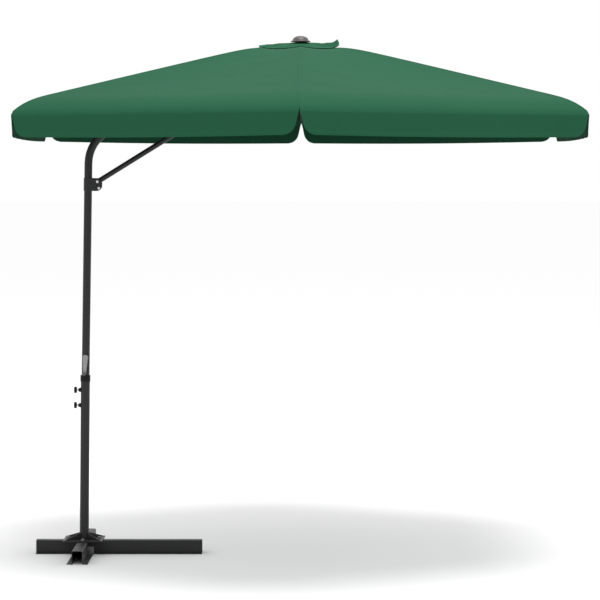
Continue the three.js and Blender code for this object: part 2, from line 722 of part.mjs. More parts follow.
// The neck under the crown that holds the arm's end and the pulley, as its side view.
function crownNeck() {
  const halfWidth = 21.5;
  const inner = 22;
  const outer = -86;
  const top = crownZ - HUB_HALF_HEIGHT + 1;
  const wall = (UPPER_RADIUS + 3.5) / Math.cos(rad(ARM_SLOPE_DEG));
  const shape = new THREE.Shape();
  shape.moveTo(outer, armPoint(outer).z - wall);
  shape.lineTo(inner - 30, armPoint(inner - 30).z - wall);
  shape.lineTo(inner, armPoint(inner - 30).z - wall);
  shape.lineTo(inner, top);
  shape.lineTo(outer, top);
  shape.closePath();
  const geometry = new THREE.ExtrudeGeometry(shape, { depth: 2 * halfWidth, bevelEnabled: false });
  return geometry.translate(0, 0, -halfWidth).rotateX(Math.PI / 2);
}

function addCrown() {
  const bore = rod(armPoint(-200), armPoint(ARM_END_X + GAP), UPPER_RADIUS + GAP, 32);
  const cordBore = rod(armPoint(-100), armPoint(-10), 8, 12);
  const sheave = PULLEY_RADIUS + 5;
  const pulleySlot = box(
    [pulleyCentre.x - sheave, -5.2, pulleyCentre.z - 60],
    [pulleyCentre.x + sheave + 2, 5.2, pulleyCentre.z + sheave],
  );
  const pinHole = rod(pulleyCentre.clone().setY(-40), pulleyCentre.clone().setY(40), 3 + GAP, 12);
  const crown = cut(join(hub(crownZ, RIB_WIDTH), crownNeck()), bore, cordBore, pulleySlot, pinHole);
  add('crown', crown, BLACK_PLASTIC);
  const ring = new THREE.TorusGeometry(PIVOT_RADIUS, RING_WIRE, 5, 36);
  add('crown_ring', ring.clone().translate(0, 0, crownZ), BRIGHT_STEEL);
  add('runner', hub(runnerZ, STRETCHER_WIDTH), BLACK_PLASTIC);
  add('runner_ring', ring.clone().translate(0, 0, runnerZ), BRIGHT_STEEL);
}

// ---------- Ribs, stretchers and rib tips, each made along +X ----------

function fabricHeight(radius) {
  const knee = (radius + KNEE_RADIUS + Math.hypot(radius - KNEE_RADIUS, KNEE_WIDTH)) / 2;
  const curl = clamp((radius - DROOP_START) / (CANOPY_RADIUS - DROOP_START), 0, 1);
  return CANOPY_INTERCEPT - CANOPY_SLOPE * knee - TIP_DROOP * curl ** 3;
}

// Radii of the stations that the fabric and the ribs under it share.
const RIB_LAST_BEND = 1350;
const PANEL_RADII = [VENT_RADIUS, 200, 265, 340, 450, 800, 1150, 1300, RIB_LAST_BEND, RIB_END_RADIUS];
PANEL_RADII.push(1440, 1475, CANOPY_RADIUS);

function ribPoint(radius) {
  return point(radius, 0, fabricHeight(radius) - RIB_DROP);
}

const ringHole = (radius, z) => rod(point(radius, -20, z), point(radius, 20, z), RING_WIRE + 1, 8);

// A hollow rib with the U-shaped bracket that carries its stretcher.
function rib() {
  const radii = [PIVOT_RADIUS - 10, ...PANEL_RADII.filter((radius) => radius <= RIB_END_RADIUS)];
  const stations = radii.map(ribPoint);
  const outside = sweep(stations, rectangle(RIB_WIDTH, RIB_HEIGHT));
  const longer = [point(0, 0, ribPoint(radii[0]).z), ...stations, ribPoint(RIB_END_RADIUS + 20)];
  const inside = sweep(longer, rectangle(RIB_WIDTH - 2 * RIB_WALL, RIB_HEIGHT - 2 * RIB_WALL));
  const slope = Math.atan(CANOPY_SLOPE);
  const lugs = box([-15, -8.5, -JOINT_DROP - 8], [15, 8.5, RIB_HEIGHT / 2 - 3]);
  const slotHalf = STRETCHER_WIDTH / 2 + 0.5;
  const lugSlot = box([-20, -slotHalf, -JOINT_DROP - 20], [20, slotHalf, -9.2]);
  const bracket = cut(lugs, lugSlot).rotateY(slope).translate(...ribPoint(JOINT_RADIUS).toArray());
  const pinHole = rod(jointPoint.clone().setY(-20), jointPoint.clone().setY(20), PIN_RADIUS + GAP, 12);
  return cut(join(outside, bracket), inside, ringHole(PIVOT_RADIUS, crownZ), pinHole);
}

// A hollow stretcher from the runner's ring up to the rib's bracket, with its own pin there.
function stretcher() {
  const inner = point(PIVOT_RADIUS, 0, runnerZ);
  const along = jointPoint.clone().sub(inner).normalize();
  const start = inner.clone().addScaledVector(along, -8);
  const end = jointPoint.clone().addScaledVector(along, 7);
  const width = STRETCHER_WIDTH;
  const height = STRETCHER_HEIGHT;
  const outside = sweep([start, end], rectangle(width, height));
  const beyond = [start.clone().addScaledVector(along, -5), end.clone().addScaledVector(along, 5)];
  const inside = sweep(beyond, rectangle(width - 2, height - 2));
  const pin = rod(jointPoint.clone().setY(-8.3), jointPoint.clone().setY(8.3), PIN_RADIUS, 12);
  return join(cut(outside, inside, ringHole(PIVOT_RADIUS, runnerZ)), pin);
}

// The plastic end that the canopy's corner pocket sits on.
function ribTip() {
  const ribEnd = ribPoint(RIB_END_RADIUS);
  const backAlongRib = ribPoint(RIB_LAST_BEND).sub(ribEnd).normalize();
  const plug = [30, -5].map((back) => ribEnd.clone().addScaledVector(backAlongRib, back));
  const headRadii = [RIB_END_RADIUS + 2, 1440, TIP_END_RADIUS];
  const head = headRadii.map((radius) => ribPoint(radius).add(point(0, 0, -TIP_LOWERED)));
  return join(
    sweep(plug, rectangle(RIB_WIDTH - 2 * RIB_WALL - 1, RIB_HEIGHT - 2 * RIB_WALL - 1.6)),
    sweep(head, rectangle(RIB_WIDTH + 2, RIB_HEIGHT - 1)),
  );
}

// ---------- Canopy, a sector for each rib, made along +X ----------


// across runs from -1 to 1 between the middles of the two panels beside the rib.
function canopyPoint(radius, across) {
  const share = Math.min(Math.abs(across) / 2, 0.5 - 0.2 / radius);
  const side = Math.sign(across);
  const step = rad(360 / RIB_COUNT);
  const sag = PANEL_SAG * Math.sin((Math.PI * radius) / CANOPY_RADIUS);
  const x = radius * (1 - share + share * Math.cos(step));
  const y = side * radius * share * Math.sin(step);
  return point(x, y, fabricHeight(radius) - sag * 4 * share * (1 - share));
}

// The inward direction of the valance, square to the eave.
function inward(across) {
  const half = rad(180 / RIB_COUNT);
  if (across === 0) return point(-1 / Math.cos(half), 0, 0);
  return point(-Math.cos(half), -Math.sign(across) * Math.sin(half), 0);
}

function canopySector() {
  const rows = PANEL_RADII.length;
  const surface = sheet(rows, 4, (row, across, outer) => {
    const onValance = row === rows;
    const radius = PANEL_RADII[Math.min(row, rows - 1)];
    const placed = canopyPoint(radius, across);
    if (onValance) placed.z -= VALANCE_DROP;
    if (outer) return placed;
    if (row >= rows - 1) placed.addScaledVector(inward(across), FABRIC);
    if (!onValance) placed.z -= FABRIC;
    return placed;
  });
  const eave = fabricHeight(CANOPY_RADIUS);
  const notch = new THREE.Shape();
  notch.moveTo(0, eave - 3);
  notch.lineTo(-NOTCH_HALF_WIDTH, eave - VALANCE_DROP - 5);
  notch.lineTo(NOTCH_HALF_WIDTH, eave - VALANCE_DROP - 5);
  notch.closePath();
  const wedge = new THREE.ExtrudeGeometry(notch, { depth: 120, bevelEnabled: false });
  const axes = new THREE.Matrix4().makeBasis(Y_AXIS, Z_AXIS, point(1, 0, 0));
  wedge.applyMatrix4(axes).translate(CANOPY_RADIUS - 90, 0, 0);
  return cut(surface, wedge);
}

function addCanopyFrame() {
  const makers = [
    ['rib', rib(), COATED_STEEL],
    ['stretcher', stretcher(), COATED_STEEL],
    ['rib_tip', ribTip(), GREY_PLASTIC],
    ['canopy_sector', canopySector(), GREEN_FABRIC],
  ];
  for (let i = 0; i < RIB_COUNT; i++) {
    const spoke = new THREE.Group();
    spoke.rotation.z = ribAngle(i);
    umbrella.add(spoke);
    for (const [name, geometry, finish] of makers) add(`${name}_${i + 1}`, geometry, finish, spoke);
  }
}

function addTop() {
  const capRadius = 195;
  const capEdge = 2437;
  const capTop = 2455;
  const holeRadius = 8;
  const capProfile = [
    [holeRadius, capTop],
    [capRadius, capEdge],
    [capRadius, capEdge + 1.2],
    [holeRadius, capTop + 1.2],
    [holeRadius, capTop],
  ];
  add('vent_cap', turned(capProfile, 36), GREEN_FABRIC);

  const stemBottom = crownZ + HUB_HALF_HEIGHT + GAP;
  const flangeBottom = 2459;
  const finialTop = 2487.7;
  const domeRadius = 38;
  const profile = [
    [0, stemBottom],
    [6, stemBottom],
    [6, flangeBottom],
    [47.5, flangeBottom],
    [47.5, flangeBottom + 4],
    [40, flangeBottom + 6],
  ];
  const domeBase = flangeBottom + 8;
  const domeSteps = 6;
  for (let i = 0; i <= domeSteps; i++) {
    const angle = ((Math.PI / 2) * i) / domeSteps;
    const radius = i === domeSteps ? 0 : domeRadius * Math.cos(angle);
    profile.push([radius, domeBase + (finialTop - domeBase) * Math.sin(angle)]);
  }
  add('finial', turned(profile, 20), GREY_PLASTIC);
}

addBaseBars();
addLowerMast();
addFootBolts();
addMastCollar();
addClampKnobs();
addUpperMast();
addStrut();
addCrank();
addCord();
addPulley();
addCrown();
addCanopyFrame();
addTop();

export default umbrella;
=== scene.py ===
"""Looks of the cantilever patio umbrella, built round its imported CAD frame. Lengths are in metres."""

import json
import math

import bmesh
import bpy
from mathutils import Matrix, Vector, noise


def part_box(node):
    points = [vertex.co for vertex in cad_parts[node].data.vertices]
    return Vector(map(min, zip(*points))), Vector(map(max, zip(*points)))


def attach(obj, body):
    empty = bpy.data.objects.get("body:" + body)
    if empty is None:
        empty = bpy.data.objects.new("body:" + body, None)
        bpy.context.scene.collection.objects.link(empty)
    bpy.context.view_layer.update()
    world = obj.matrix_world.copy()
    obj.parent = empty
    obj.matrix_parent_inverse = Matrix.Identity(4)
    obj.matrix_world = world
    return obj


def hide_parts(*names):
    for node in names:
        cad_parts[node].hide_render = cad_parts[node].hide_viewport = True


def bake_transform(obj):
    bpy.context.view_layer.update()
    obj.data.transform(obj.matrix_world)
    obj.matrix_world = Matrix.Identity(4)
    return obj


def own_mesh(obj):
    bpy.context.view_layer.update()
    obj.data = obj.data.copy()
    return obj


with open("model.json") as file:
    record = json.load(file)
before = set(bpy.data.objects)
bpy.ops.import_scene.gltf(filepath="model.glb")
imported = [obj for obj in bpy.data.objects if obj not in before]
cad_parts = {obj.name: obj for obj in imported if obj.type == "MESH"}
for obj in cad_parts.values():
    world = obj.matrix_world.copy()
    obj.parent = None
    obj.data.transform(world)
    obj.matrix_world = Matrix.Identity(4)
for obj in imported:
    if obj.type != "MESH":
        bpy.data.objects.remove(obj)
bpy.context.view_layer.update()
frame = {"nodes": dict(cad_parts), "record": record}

# ---------- Driving dimensions, the same as the part's ----------

RIB_COUNT = 6
FIRST_RIB_DEG = 30
STEP = math.tau / RIB_COUNT
CANOPY_RADIUS = 1.5
CANOPY_SLOPE = 0.2324
CANOPY_INTERCEPT = 2.4917
KNEE_RADIUS = 0.2655
KNEE_WIDTH = 0.0767
DROOP_START = 1.3
TIP_DROOP = 0.042
PANEL_SAG = 0.018
VENT_RADIUS = 0.118
VALANCE_DROP = 0.108
FABRIC = 0.0009

# Seams and hems
SEAM_HALF_WIDTH = 0.0065  # of the felled seam over each rib
SEAM_RISE = 0.0011
HEM_HEIGHT = 0.016
HEM_RISE = 0.0009
STITCH_FROM_RIB = 0.0046
STITCH_FROM_EAVE = 0.009
STITCH_IN_HEM = 0.002  # how far the hem's stitches lie inside it
EAVE_RADIUS = 0.012  # of the fabric's turn from panel to valance
GAP_HALF_WIDTH = 0.03  # half the gap between two flaps, near their lower edge
FLAP_CORNER = 0.048  # radius of each flap's lower corner
GAP_WIDENING = 0.8  # below 1, the gap opens fastest just under the eave
FLAP_WAVE = 0.0035
FLAP_WAVE_TURN = 31  # radians of wave for each metre along the eave
VALANCE_BOW = 0.006  # how much lower the valance hangs at the middle of a side
CORNER_LEAN = 0.006  # how far a flap's free corner hangs inwards

# Unevenness of the cloth, as size and depth, and the distances over which it dies out
PANEL_RIPPLES = ((0.16, 0.0022), (0.05, 0.0006))
CALM_BY_RIB = 0.04
CALM_BY_EAVE = 0.05

# Mesh of a half panel
COLUMNS_BY_RIB = (0, 0.0035, 0.0058, SEAM_HALF_WIDTH, 0.0085)  # distances from the rib
FIELD_COLUMNS = 22
PANEL_ROWS = 54
VALANCE_ROWS = 22

# Vent cap: its reach from the middle, and its height before it comes to lie on the canopy
CAP_INNER_RADIUS = 0.010
CAP_REACH = 0.176
CAP_CORNER_REACH = 0.020  # further towards each rib
CAP_LEFT_REACH = 0.018  # further towards the mast
CAP_TOP_Z = 2.4575
CAP_FALL = 0.024
CAP_CLEARANCE = 0.0035
CAP_RIPPLE = (0.04, 0.008)
CAP_RINGS = 20
CAP_SPOKES = 96
# Waves round the cap: how many, phase, height at the edge, and the power it grows by
CAP_WAVES = ((5, 0.7, 0.0060, 1), (13, 2, 0.0045, 2))
# Lobes of the cap: direction, sharpness, height at the edge, and the power it grows by
CAP_LOBES = (
    (-0.25, 10, 0.036, 5),
    (math.pi + 0.2, 16, 0.012, 5),
    (math.radians(60), 2, 0.014, 1),
    (math.radians(150), 2, 0.005, 1),
    (math.radians(-90), 0.5, -0.036, 1),
)

# Fabric colours: two depths of fading, the slubs, and the sewing thread
FABRIC_SHADES = (
    (0.0135, 0.078, 0.039),
    (0.0157, 0.088, 0.044),
    (0.0120, 0.068, 0.033),
    (0.022, 0.120, 0.064),
)
INSIDE_PAINTED_SHADE = 0.62  # painted shade: the inside is painted darker, standing in for the shade under the canopy, and it is duller

# Upper mast: its axis crosses the lower mast's, and bends over into the arm
FOOT_X = -1.0464
LOWER_LEAN_DEG = 0.68
UPPER_LEAN_DEG = 1.02
MAST_CROSS_Z = 0.735
BEND_START_Z = 1.879
BEND_RADIUS = 0.180
ARM_SLOPE_DEG = 20.125

# Lift cord. The heights and sides are listed: it leaves the winding at one side, and comes to
# the middle of the tube by 1.29 m. The rest of its route is the tube's own axis.
CORD_RADIUS = 0.0025
CORD_SIDES = 10
WINDING_REACH = 0.0105  # from the drum's axis to the cord's middle
CORD_RISE = (
    (0.949, 1),
    (1.010, 1),
    (1.090, 0.8),
    (1.190, 0.4),
    (1.290, 0),
    (1.480, 0),
    (1.680, 0),
)
CORD_BEND_STEPS = 6
CORD_ARM_X = (-0.70, -0.45, -0.20)
PULLEY_RADIUS = 0.014  # of the cord's middle on the pulley
PULLEY_STEPS = 8
CORD_FALL_STEPS = 60
CORD_GAP = 0.0003  # between the cord's end and the ferrule

MAST_BODY = "mast"
LENS_MM = 147.8
SENSOR_MM = 36
VIEW_DISTANCE = 400
CAMERA_AT = (0.034, -11.83, 1.828)
CAMERA_PITCH_DEG = -2.929
CAMERA_YAW_DEG = -0.177


KEY_LIGHT_AT = (0.8, -1.5, 10.0)
KEY_LIGHT_TARGET = (0, 0, 1.6)
KEY_LIGHT_WIDTH = 5.0
KEY_LIGHT_WATTS = 700
FLOOR_REACH = 150
FLOOR_DROP = 0.0005
FLOOR_WHITE = 0.98


# ---------- Camera, light and floor ----------


def add_camera():
    data = bpy.data.cameras.new("camera")
    data.lens = LENS_MM
    data.sensor_width = SENSOR_MM
    data.clip_end = VIEW_DISTANCE
    camera = bpy.data.objects.new("camera", data)
    camera.location = CAMERA_AT
    camera.rotation_euler = (math.radians(90 + CAMERA_PITCH_DEG), 0, -math.radians(CAMERA_YAW_DEG))
    bpy.context.scene.collection.objects.link(camera)
    bpy.context.scene.camera = camera


def add_area_light(name, at, target, size, power):
    data = bpy.data.lights.new(name, "AREA")
    data.shape = "DISK"
    data.size = size
    data.energy = power
    light = bpy.data.objects.new(name, data)
    light.location = at
    light.rotation_euler = (Vector(target) - Vector(at)).to_track_quat("-Z", "Y").to_euler()
    bpy.context.scene.collection.objects.link(light)


def add_stage():
    bpy.context.scene.view_settings.view_transform = "Standard"
    world = bpy.data.worlds.new("studio")
    world.use_nodes = True
    background = world.node_tree.nodes["Background"]
    background.inputs["Color"].default_value = (1, 1, 1, 1)
    background.inputs["Strength"].default_value = 1.0
    bpy.context.scene.world = world
    add_area_light("key", KEY_LIGHT_AT, KEY_LIGHT_TARGET, KEY_LIGHT_WIDTH, KEY_LIGHT_WATTS)

    bm = bmesh.new()
    bmesh.ops.create_grid(bm, x_segments=8, y_segments=8, size=FLOOR_REACH)
    mesh = bpy.data.meshes.new("floor")
    bm.to_mesh(mesh)
    bm.free()
    floor = bpy.data.objects.new("floor", mesh)
    floor.location.z = -FLOOR_DROP
    bpy.context.scene.collection.objects.link(floor)
    material, shader, _ = new_material("floor_paint")
    shader.inputs["Base Color"].default_value = (FLOOR_WHITE, FLOOR_WHITE, FLOOR_WHITE, 1)
    shader.inputs["Roughness"].default_value = 1.0
    shader.inputs["Specular IOR Level"].default_value = 0.0
    mesh.materials.append(material)


# ---------- Materials ----------


def new_material(name):
    material = bpy.data.materials.new(name)
    material.use_nodes = True
    nodes = material.node_tree.nodes
    return material, nodes["Principled BSDF"], material.node_tree


def linked_node(tree, kind, **settings):
    node = tree.nodes.new(kind)
    for key, value in settings.items():
        setattr(node, key, value)
    return node


def place(tree):
    """Object coordinates, which are the part's own frame for every piece."""
    return linked_node(tree, "ShaderNodeTexCoord").outputs["Object"]


def noise_at(tree, vector, scale, detail=3.0, roughness=0.55):
    node = linked_node(tree, "ShaderNodeTexNoise")
    node.inputs["Scale"].default_value = scale
    node.inputs["Detail"].default_value = detail
    node.inputs["Roughness"].default_value = roughness
    tree.links.new(vector, node.inputs["Vector"])
    return node.outputs["Fac"]


def remapped(tree, value, low, high, start=0.0, end=1.0):
    node = linked_node(tree, "ShaderNodeMapRange")
    node.inputs["From Min"].default_value = low
    node.inputs["From Max"].default_value = high
    node.inputs["To Min"].default_value = start
    node.inputs["To Max"].default_value = end
    tree.links.new(value, node.inputs["Value"])
    return node.outputs["Result"]


def blended_colour(tree, factor, first, second):
    node = linked_node(tree, "ShaderNodeMix", data_type="RGBA")
    for name, value in (("A_Color", first), ("B_Color", second)):
        socket = next(s for s in node.inputs if s.identifier == name)
        if isinstance(value, tuple):
            socket.default_value = (*value, 1)
        else:
            tree.links.new(value, socket)
    tree.links.new(factor, next(s for s in node.inputs if s.identifier == "Factor_Float"))
    return next(s for s in node.outputs if s.identifier == "Result_Color")


def math_node(tree, operation, *values):
    node = linked_node(tree, "ShaderNodeMath", operation=operation)
    for socket, value in zip(node.inputs, values):
        if isinstance(value, (int, float)):
            socket.default_value = value
        else:
            tree.links.new(value, socket)
    return node.outputs[0]


def bumped(tree, height, distance, strength=1.0, normal=None):
    node = linked_node(tree, "ShaderNodeBump")
    node.inputs["Distance"].default_value = distance
    node.inputs["Strength"].default_value = strength
    tree.links.new(height, node.inputs["Height"])
    if normal is not None:
        tree.links.new(normal, node.inputs["Normal"])
    return node.outputs["Normal"]


def surface(name, dark, light, roughness, metallic, grain, bump, specular=0.5):
    """A mottled surface: two colours, a roughness range, and a grain of that scale and depth."""
    material, shader, tree = new_material(name)
    vector = place(tree)
    patches = noise_at(tree, vector, 9, 4)
    fine = noise_at(tree, vector, grain, 4, 0.65)
    tree.links.new(blended_colour(tree, patches, dark, light), shader.inputs["Base Color"])
    tree.links.new(remapped(tree, fine, 0.3, 0.7, *roughness), shader.inputs["Roughness"])
    tree.links.new(bumped(tree, fine, bump), shader.inputs["Normal"])
    shader.inputs["Metallic"].default_value = metallic
    shader.inputs["Specular IOR Level"].default_value = specular
    return material


def powder_coat():
    """Dark powder coat: a fine orange peel, with the sheen worn brighter in small scuffs."""
    material, shader, tree = new_material("powder_coat")
    vector = place(tree)
    peel = noise_at(tree, vector, 900, 2, 0.5)
    patches = noise_at(tree, vector, 7, 4)
    scuffs = remapped(tree, noise_at(tree, vector, 60, 6, 0.7), 0.66, 0.74)
    coat = blended_colour(tree, patches, (0.0150, 0.0152, 0.0156), (0.0215, 0.0217, 0.0222))
    worn = math_node(tree, "MULTIPLY", scuffs, 0.35)
    tree.links.new(blended_colour(tree, worn, coat, (0.055, 0.055, 0.057)), shader.inputs["Base Color"])
    tree.links.new(remapped(tree, patches, 0.3, 0.7, 0.36, 0.5), shader.inputs["Roughness"])
    tree.links.new(bumped(tree, peel, 0.00012, 0.6), shader.inputs["Normal"])
    shader.inputs["Specular IOR Level"].default_value = 0.24
    return material


def polyester(name, tint, sheen):
    """Woven polyester. The piece's own attributes say where its seams and hems are stitched."""
    material, shader, tree = new_material(name)
    vector = place(tree)
    threads = []
    for turn in (0, math.pi / 2):
        mapping = linked_node(tree, "ShaderNodeMapping")
        mapping.inputs["Rotation"].default_value = (0, 0, turn + 0.5)
        tree.links.new(vector, mapping.inputs["Vector"])
        wave = linked_node(tree, "ShaderNodeTexWave", wave_type="BANDS", bands_direction="X")
        wave.inputs["Scale"].default_value = 320
        tree.links.new(mapping.outputs[0], wave.inputs["Vector"])
        threads.append(wave.outputs["Fac"])
    weave = math_node(tree, "MULTIPLY", *threads)
    slub = noise_at(tree, vector, 130, 5, 0.7)
    fade = noise_at(tree, vector, 2.2, 3)

    seam = linked_node(tree, "ShaderNodeAttribute", attribute_name="stitch_line").outputs["Fac"]
    along = linked_node(tree, "ShaderNodeAttribute", attribute_name="stitch_along").outputs["Fac"]
    on_line = remapped(tree, math_node(tree, "ABSOLUTE", seam), 0.0009, 0.0004)
    dashes = remapped(tree, math_node(tree, "SINE", math_node(tree, "MULTIPLY", along, 1250)), -0.45, -0.2)
    stitches = math_node(tree, "MULTIPLY", on_line, dashes)

    shades = [tuple(tint * part for part in shade) for shade in FABRIC_SHADES]
    cloth = blended_colour(tree, fade, shades[0], shades[1])
    cloth = blended_colour(tree, remapped(tree, slub, 0.35, 0.65, 0, 0.35), cloth, shades[2])
    thread = blended_colour(tree, math_node(tree, "MULTIPLY", stitches, 0.8), cloth, shades[3])
    tree.links.new(thread, shader.inputs["Base Color"])
    tree.links.new(remapped(tree, slub, 0.3, 0.7, 0.72, 0.86), shader.inputs["Roughness"])
    woven = bumped(tree, weave, 0.00012, 0.5)
    sewn = bumped(tree, stitches, 0.0005, 0.8, woven)
    tree.links.new(sewn, shader.inputs["Normal"])
    shader.inputs["Sheen Weight"].default_value = sheen
    shader.inputs["Sheen Roughness"].default_value = 0.5
    shader.inputs["Specular IOR Level"].default_value = 0.04
    return material


def braid():
    material, shader, tree = new_material("braid")
    vector = place(tree)
    wave = linked_node(tree, "ShaderNodeTexWave", wave_type="BANDS", bands_direction="DIAGONAL")
    wave.inputs["Scale"].default_value = 210
    wave.inputs["Distortion"].default_value = 1.5
    tree.links.new(vector, wave.inputs["Vector"])
    strands = wave.outputs["Fac"]
    tree.links.new(
        blended_colour(tree, strands, (0.30, 0.29, 0.26), (0.52, 0.51, 0.47)), shader.inputs["Base Color"]
    )
    tree.links.new(bumped(tree, strands, 0.0004), shader.inputs["Normal"])
    shader.inputs["Roughness"].default_value = 0.85
    return material


def metals():
    """Zinc, dull zinc and cast metal."""
    zinc_dark, zinc_light = (0.48, 0.49, 0.50), (0.66, 0.67, 0.68)
    dull_dark, dull_light = (0.16, 0.16, 0.165), (0.24, 0.24, 0.245)
    cast_dark, cast_light = (0.24, 0.24, 0.245), (0.33, 0.33, 0.335)
    return {
        "bright_steel": surface("zinc_plate", zinc_dark, zinc_light, (0.24, 0.4), 0.95, 420, 0.00004),
        "cast_metal": surface("cast_metal", cast_dark, cast_light, (0.42, 0.6), 0.7, 650, 0.00015),
        "foot_bolt": surface("dull_zinc", dull_dark, dull_light, (0.4, 0.55), 0.8, 420, 0.00005),
    }


def plastics():
    """Black plastic, which shines little, and the warm grey plastic."""
    black_dark, black_light = (0.005, 0.005, 0.0055), (0.009, 0.009, 0.0095)
    grey_dark, grey_light = (0.05, 0.042, 0.042), (0.085, 0.073, 0.073)
    return {
        "black_plastic": surface(
            "black_plastic", black_dark, black_light, (0.42, 0.58), 0, 1100, 0.00008, specular=0.15
        ),
        "grey_plastic": surface("grey_plastic", grey_dark, grey_light, (0.34, 0.46), 0, 800, 0.00005),
    }


def make_materials():
    return {
        "coated_steel": powder_coat(),
        **metals(),
        **plastics(),
        "cord": braid(),
        "canopy_fabric": polyester("polyester", 1.0, 0.02),
        # The inner face is the same cloth painted darker, as painted shade under the canopy
        "canopy_shaded_inside": polyester("polyester_shaded_inside", INSIDE_PAINTED_SHADE, 0.0),
    }


# ---------- CAD nodes that are shown as they are ----------


def dress_node(node, material, edge):
    """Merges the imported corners, rounds the sharp edges a little, and gives the material."""
    piece = frame["nodes"][node]
    mesh = piece.data
    if "custom_normal" in mesh.attributes:
        mesh.attributes.remove(mesh.attributes["custom_normal"])
    mesh.shade_smooth()
    weld = piece.modifiers.new("weld", "WELD")
    weld.merge_threshold = 0.00002
    bevel = piece.modifiers.new("edge", "BEVEL")
    bevel.width = edge
    bevel.segments = 2
    bevel.limit_method = "ANGLE"
    bevel.angle_limit = math.radians(34)
    bevel.use_clamp_overlap = True
    normals = piece.modifiers.new("normals", "WEIGHTED_NORMAL")
    normals.keep_sharp = False
    mesh.materials.clear()
    mesh.materials.append(material)


# Nodes whose finish differs from their slot's, by their name without its number
LOOKS = {"foot_bolt": "foot_bolt", "rib_tip": "black_plastic"}


def dress_nodes(materials, replaced):
    for subpart in frame["record"]["subparts"]:
        node, slot = subpart["node"], subpart["material_slot"]
        if node not in replaced:
            look = LOOKS.get(node.rstrip("_123456"), slot)
            dress_node(node, materials[look], 0.0003 if slot == "bright_steel" else 0.0006)


# ---------- Mesh making ----------


def make_piece(name, vertices, faces, material, attributes=None):
    mesh = bpy.data.meshes.new(name)
    mesh.from_pydata([tuple(v) for v in vertices], [], faces)
    mesh.validate()
    for key, values in (attributes or {}).items():
        mesh.attributes.new(key, "FLOAT", "POINT").data.foreach_set("value", values)
    mesh.materials.append(material)
    mesh.shade_smooth()
    piece = bpy.data.objects.new(name, mesh)
    bpy.context.scene.collection.objects.link(piece)
    return piece


def settle_modifiers(piece):
    """Applies the piece's modifiers, so that its mesh is final."""
    bpy.context.view_layer.update()
    evaluated = piece.evaluated_get(bpy.context.evaluated_depsgraph_get())
    mesh = bpy.data.meshes.new_from_object(evaluated)
    piece.modifiers.clear()
    piece.data = mesh


def thicken(piece, thickness, inside):
    """Gives a sheet its thickness, with another material on its inner face."""
    piece.data.materials.append(inside)
    solidify = piece.modifiers.new("thickness", "SOLIDIFY")
    solidify.thickness = thickness
    solidify.offset = -1
    solidify.use_even_offset = False
    solidify.material_offset = 1
    settle_modifiers(piece)
    piece.data.set_sharp_from_angle(angle=math.radians(50))


# ---------- Canopy ----------


def fabric_height(radius):
    knee = (radius + KNEE_RADIUS + math.hypot(radius - KNEE_RADIUS, KNEE_WIDTH)) / 2
    curl = min(max((radius - DROOP_START) / (CANOPY_RADIUS - DROOP_START), 0), 1)
    return CANOPY_INTERCEPT - CANOPY_SLOPE * knee - TIP_DROOP * curl**3


def panel_point(radius, share):
    """A point on a panel in its rib's own frame: share is 0 on the rib and 0.5 at the panel's middle."""
    sag = PANEL_SAG * math.sin(math.pi * radius / CANOPY_RADIUS)
    x = radius * (1 - share + share * math.cos(STEP))
    y = radius * share * math.sin(STEP)
    return Vector((x, y, fabric_height(radius) - sag * 4 * share * (1 - share)))


def canopy_top(radius, angle):
    """Height of the canopy at a distance and direction from the middle."""
    from_middle = (angle - math.radians(FIRST_RIB_DEG)) % STEP - STEP / 2
    rib_radius = radius * math.cos(from_middle) / math.cos(STEP / 2)
    share = 0.5 + 0.5 * math.tan(from_middle) / math.tan(STEP / 2)
    return panel_point(rib_radius, share).z


def ripple(at, size, depth):
    """A soft unevenness of the cloth that is the same on both sides of every join."""
    return depth * noise.noise(Vector(at) / size)


def flap_edge(drop):
    """Half the gap between two flaps, that far below the eave."""
    side = GAP_HALF_WIDTH * (drop / VALANCE_DROP) ** GAP_WIDENING
    into_corner = drop - (VALANCE_DROP - FLAP_CORNER)
    if into_corner <= 0:
        return side
    return side + FLAP_CORNER - math.sqrt(max(FLAP_CORNER**2 - into_corner**2, 0))


def column_distance(column, half_width):
    """How far a column of the mesh lies from the rib: close together at the seam, then evenly spread."""
    if column < len(COLUMNS_BY_RIB):
        return COLUMNS_BY_RIB[column]
    share = (column - len(COLUMNS_BY_RIB) + 1) / FIELD_COLUMNS
    return COLUMNS_BY_RIB[-1] + (half_width - COLUMNS_BY_RIB[-1]) * share


